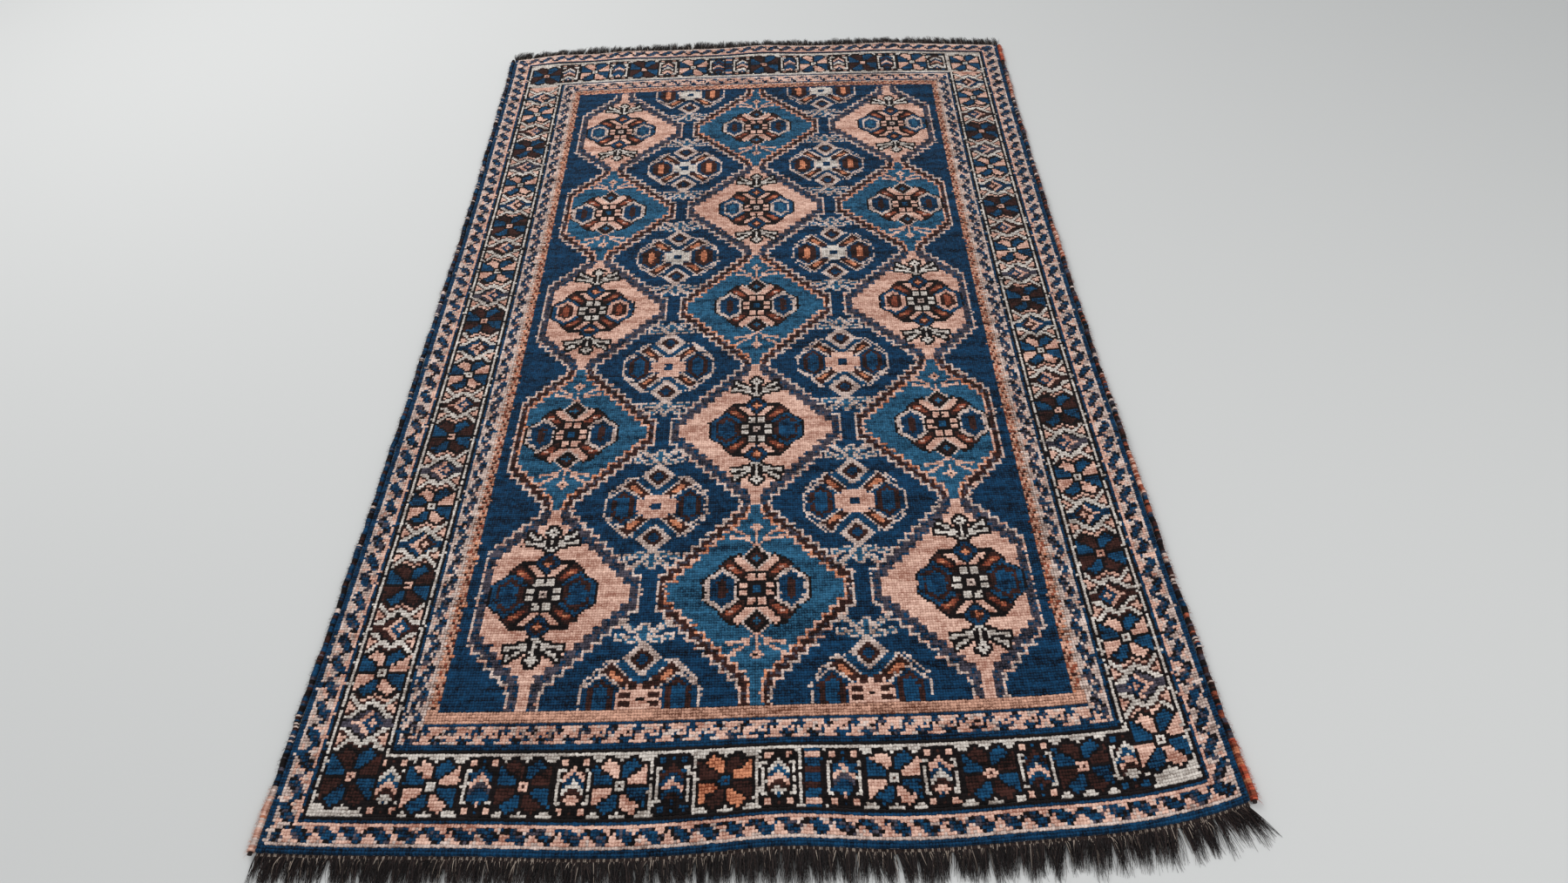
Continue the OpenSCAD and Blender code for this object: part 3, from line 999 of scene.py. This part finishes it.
def fuzz(hand, start, end, count, radius):
    """Loose fibres that stand out of the overcasting."""
    y = chance.uniform(start, end, count)
    line = selvage_line(hand, np.sort(y))
    angle = chance.uniform(-0.4, 0.9, count)
    out_x, out_z = hand * np.cos(angle), np.sin(angle)
    root = line + radius * 0.8 * np.stack([out_x, np.zeros(count), out_z], -1)
    reach = chance.uniform(0.002, 0.0065, count)
    aim = np.stack([out_x, chance.normal(0, 0.6, count), 0.5 * out_z - 0.25], -1)
    tip = root + aim * reach[:, None]
    tip[:, 2] = np.maximum(tip[:, 2], HAIR_FLOOR)
    middle = (root + tip) / 2 + chance.normal(0, 0.0004, root.shape)
    middle[:, 2] = np.maximum(middle[:, 2], HAIR_FLOOR)
    return strands(np.stack([root, middle, tip], 1), HAIR_ROOT_R, HAIR_TIP_R)


def strands(lines, root_r, tip_r):
    """Points and faces of many tapering strands with three sides each; lines is (strand, step, xyz)."""
    count, steps = lines.shape[:2]
    along = np.gradient(lines, axis=1)
    along /= np.linalg.norm(along, axis=-1, keepdims=True) + 1e-9
    across = np.cross(along, [0.0, 0.0, 1.0])
    across /= np.linalg.norm(across, axis=-1, keepdims=True) + 1e-9
    up = np.cross(across, along)
    radius = np.linspace(root_r, tip_r, steps)[None, :, None]
    angles = (math.pi / 2, math.pi * 7 / 6, math.pi * 11 / 6)
    points = np.stack([lines + radius * (across * math.cos(a) + up * math.sin(a)) for a in angles], 2)
    first = (np.arange(count)[:, None] * steps + np.arange(steps - 1)[None, :])[..., None] * 3
    here, after = np.arange(3), (np.arange(3) + 1) % 3
    quads = np.stack([first + here, first + after, first + 3 + after, first + 3 + here], -1)
    return points.reshape(-1, 3), quads.reshape(-1, 4)


def overcast(node, hand, start, end, radius, pitch, yarn_of_turn, hairs, slot):
    """Wool wound round the selvage: every turn is a ridge in its own yarn."""
    y = np.linspace(start, end, int((end - start) / pitch * RINGS_PER_TURN) + 1)
    angle = (np.arange(SIDES) + 0.5) / SIDES
    turn = (y[:, None] - start) / pitch + angle[None, :] * hand
    thick = chance.normal(1, 0.045, int(turn.max()) + 3)
    ridge = np.abs(np.sin(math.pi * turn)) ** 0.7
    radii = radius * thick[np.floor(turn).astype(int) + 1] * (0.86 + 0.14 * ridge)
    points, quads, caps = tube(selvage_line(hand, y), radii)
    face_y = (y[:-1, None] + y[1:, None]) / 2
    face_turn = (face_y / pitch - start / pitch + (angle[None, :] + 0.5 / SIDES) * hand).reshape(-1)
    whole = np.floor(face_turn).astype(int) + 1
    yarns = yarn_of_turn[np.clip(whole, 0, len(yarn_of_turn) - 1)]
    share = face_turn - np.floor(face_turn)
    uv = np.stack([whole + 0.1 + 0.8 * share, np.tile(angle * 3, len(y) - 1)], -1)
    hair_points, hair_quads = fuzz(hand, start, end, hairs, radius)
    hair_yarns = np.full(len(hair_quads), yarn_of_turn[0])
    hair = np.arange(len(hair_quads)) // (3 * (HAIR_STEPS - 1))
    hair_uv = np.stack([hair, hair], -1) + 0.5
    uv = np.concatenate([uv, np.zeros((len(caps), 2)), hair_uv])
    all_points = np.concatenate([points, hair_points])
    all_quads = np.concatenate([quads, caps, hair_quads + len(points)])
    all_yarns = np.concatenate([yarns, np.full(len(caps), yarns[0]), hair_yarns])
    piece = mesh_piece(node + "_wool", all_points, all_quads, all_yarns, yarn_wool, np.repeat(uv, 4, axis=0))
    return attach(piece, slot, node)


def turns(count, yarns, weights, run):
    """A yarn for each turn, in short runs of the same one."""
    picks = chance.choice(yarns, count, p=weights)
    keep = chance.random(count) < run
    for i in range(1, count):
        if keep[i]:
            picks[i] = picks[i - 1]
    return picks


def core(side, hand):
    """Warps twisted together, which show only at the ends."""
    y = np.linspace(-CORE_PROUD, PILE_L + CORE_PROUD, CORE_STEPS)
    angle = (np.arange(SIDES) + 0.5) / SIDES
    twist = CORE_WARPS * angle[None, :] + y[:, None] / CORE_TWIST
    radii = CORE_R * (0.85 + 0.15 * np.abs(np.cos(math.pi * twist)))
    points, quads, caps = tube(selvage_line(hand, y), radii)
    faces = np.concatenate([quads, caps])
    uv = np.repeat(np.arange(len(faces))[:, None] // SIDES * np.array([[1.0, 0.3]]), 4, axis=0)
    piece = mesh_piece(f"selvage_core_{side}_warps", points, faces, np.zeros(len(faces)), [warp_dark], uv)
    return attach(piece, "warp_wool", "selvage_core_" + side)


def make_selvages():
    left = turns(WRAP_TURNS, [NAVY, BLACK, BROWN, PINK, PLUM], [0.36, 0.3, 0.16, 0.08, 0.1], 0.35)
    mixed = [BROWN, BLACK, RUST, NAVY, PINK, PLUM]
    right = turns(WRAP_TURNS, mixed, [0.26, 0.28, 0.1, 0.14, 0.08, 0.14], 0.4)
    turn = np.arange(WRAP_TURNS)
    patches = np.sin(turn / 21.0 - 2) + np.sin(turn / 47.0 - 2) > 1.3
    right[patches] = np.where(chance.random(WRAP_TURNS) < 0.4, SALMON, RUST)[patches]
    pieces = [core("left", -1), core("right", 1)]
    for side, hand, end, yarns in (("left", -1, PILE_L, left), ("right", 1, PILE_L - BINDING_L, right)):
        pieces.append(overcast("selvage_wrap_" + side, hand, BINDING_L, end, WRAP_R, WRAP_PITCH, yarns,
                               WRAP_HAIRS, "selvage_wool"))
    corners = (("near_left", -1, 0), ("near_right", 1, 0), ("far_right", 1, PILE_L - BINDING_L))
    for place, hand, start in corners:
        shades = [SALMON, PINK, ORANGE] if hand < 0 else [SCARLET, RUST, ORANGE]
        yarns = turns(BINDING_TURNS, shades, [0.6, 0.25, 0.15], 0.3)
        pieces.append(overcast("corner_binding_" + place, hand, start, start + BINDING_L, BINDING_R,
                               BINDING_PITCH, yarns, BINDING_HAIRS, "binding_wool"))
    return pieces


# ---- fringes
TUFTS = 150
STRAND_STEPS = 5
STRAND_ROOT_R = 0.00055
STRAND_TIP_R = 0.00012
LONGEST_STRAND = 0.056
# The shares of black, dark and pale warps, by index
PALE = 2
WARP_SHARES = (0.67, 0.28, 0.05)
# How far tufts and single strands lean from straight out, in radians
TUFT_LEAN = 0.17
TUFT_DRIFT = 0.12
STRAND_LEAN = 0.20
MOST_LEAN = 0.85
# How much of its way to the tuft's middle a strand's tip goes
GATHER = 0.8
# How strands rise between root and tip
USUAL_RISE = 0.0018
MOST_RISE = 0.007


def strand_lines(end, count, corner_sweep):
    """The strands' middle lines, and which of the three warps each one is. corner_sweep says how strongly
    those at the right corner sweep outwards."""
    tuft = chance.integers(0, TUFTS, count)
    tuft_x = (np.arange(TUFTS) + 0.5) / TUFTS - 0.5 + chance.normal(0, 0.0015, TUFTS)
    tuft_lean = chance.normal(0, TUFT_LEAN, TUFTS) + TUFT_DRIFT * np.sin(np.arange(TUFTS) / 7.0)
    tuft_reach = chance.uniform(0.66, 1.0, TUFTS)
    root_x = (tuft_x[tuft] + chance.uniform(-0.7, 0.7, count) / TUFTS) * PILE_W
    root_x = np.clip(root_x, -PILE_W / 2, PILE_W / 2 + 0.002)
    corner = corner_sweep * np.clip((root_x / PILE_W * 2 - 0.82) / 0.18, 0, 1)
    reach = LONGEST_STRAND * tuft_reach[tuft] * chance.uniform(0.35, 1.0, count) * (1 + 0.2 * corner)
    warp = chance.choice(len(WARP_SHARES), count, p=WARP_SHARES)
    reach[warp == PALE] *= 0.7
    lean = tuft_lean[tuft] + chance.normal(0, STRAND_LEAN, count) + 0.9 * corner
    lean = np.clip(lean, -MOST_LEAN, MOST_LEAN)
    gather = (tuft_x[tuft] * PILE_W - root_x) * GATHER
    t = np.linspace(0, 1, STRAND_STEPS)[None, :]
    bend = chance.normal(0, 0.12, count)[:, None] * np.sin(t * math.pi)
    side = gather[:, None] * t + reach[:, None] * (np.tan(lean)[:, None] * t * 0.5 + bend * 0.35)
    out = reach[:, None] * t * np.cos(lean)[:, None] - 0.0015
    sign, edge_y = (-1, -END_WEAVE_L) if end == "near" else (1, PILE_L + END_WEAVE_L)
    base = lay(root_x, np.full(count, edge_y), 0)
    root_z = (chance.uniform(0.0008, 0.0026, count) + 0.0006 * (warp == PALE))[:, None]
    rise = np.minimum(chance.exponential(USUAL_RISE, count), MOST_RISE)[:, None]
    z = base[:, None, 2] * (1 - t) + root_z * (1 - t) ** 0.7 + rise * np.sin(t * math.pi) + 0.0005
    return np.stack([base[:, None, 0] + side, base[:, None, 1] + sign * out, z], -1), warp


def fringe(end, count, corner_sweep):
    """Cut warps in ragged tufts: thick and close at the weave, tapering and fanning out over the floor."""
    lines, warp = strand_lines(end, count, corner_sweep)
    points, quads = strands(lines, STRAND_ROOT_R, STRAND_TIP_R)
    strand = np.repeat(np.arange(count), 3 * (STRAND_STEPS - 1))
    uv = np.repeat(strand[:, None] * np.array([[1.0, 0.7]]) + 0.5, 4, axis=0)
    wools = [warp_black, warp_dark, warp_pale]
    piece = mesh_piece(f"fringe_{end}_warps", points, quads, warp[strand], wools, uv)
    return attach(piece, "warp_wool", "fringe_" + end)


ground = make_ground_weave()
with_ground = [end_weave("near"), end_weave("far")]
with_ground += make_selvages()
with_ground += [fringe("near", count=6800, corner_sweep=0.7), fringe("far", count=8000, corner_sweep=0.2)]
with_ground += pile_pieces

# ---- stage, light and camera
def make_stage():
    """A plain floor, a little below the lowest strands."""
    corners = np.array([(-4, -4, 0), (4, -4, 0), (4, 6, 0), (-4, 6, 0)], float)
    material = bpy.data.materials.new("floor_plain")
    material.use_nodes = True
    shader = material.node_tree.nodes["Principled BSDF"]
    shader.inputs["Base Color"].default_value = (0.62, 0.62, 0.61, 1)
    shader.inputs["Roughness"].default_value = 0.8
    floor = mesh_piece("floor", corners, np.array([(0, 1, 2, 3)]), [0], [material])
    floor.location.z = -0.0005


def area_light(name, place, aim, size, power):
    light = bpy.data.lights.new(name, "AREA")
    light.shape = "RECTANGLE"
    light.size, light.size_y = size
    light.energy = power
    lamp = add_object(name, light)
    lamp.location = place
    lamp.rotation_euler = (Vector(aim) - Vector(place)).to_track_quat("-Z", "Y").to_euler()


def make_light():
    world = bpy.data.worlds.new("studio")
    bpy.context.scene.world = world
    world.use_nodes = True
    sky = world.node_tree.nodes["Background"]
    sky.inputs["Color"].default_value = (0.95, 0.98, 1.0, 1)
    sky.inputs["Strength"].default_value = 0.55
    area_light("key", (-1.8, 1.6, 2.6), (0, 0.2, 0), (2.4, 1.6), 60)
    area_light("fill", (1.6, -1.8, 2.4), (0, 0, 0), (2.0, 1.4), 30)


def make_camera():
    camera = bpy.data.cameras.new("camera")
    camera.lens = 24.1
    camera.sensor_width = 36.0
    holder = add_object("camera", camera)
    holder.location = (0.057, -1.5515, 1.2768)
    holder.rotation_euler = [math.radians(angle) for angle in (43.33, 1.41, -1.04)]
    bpy.context.scene.camera = holder


make_stage()
make_light()
make_camera()
bpy.context.scene.view_settings.view_transform = "Standard"
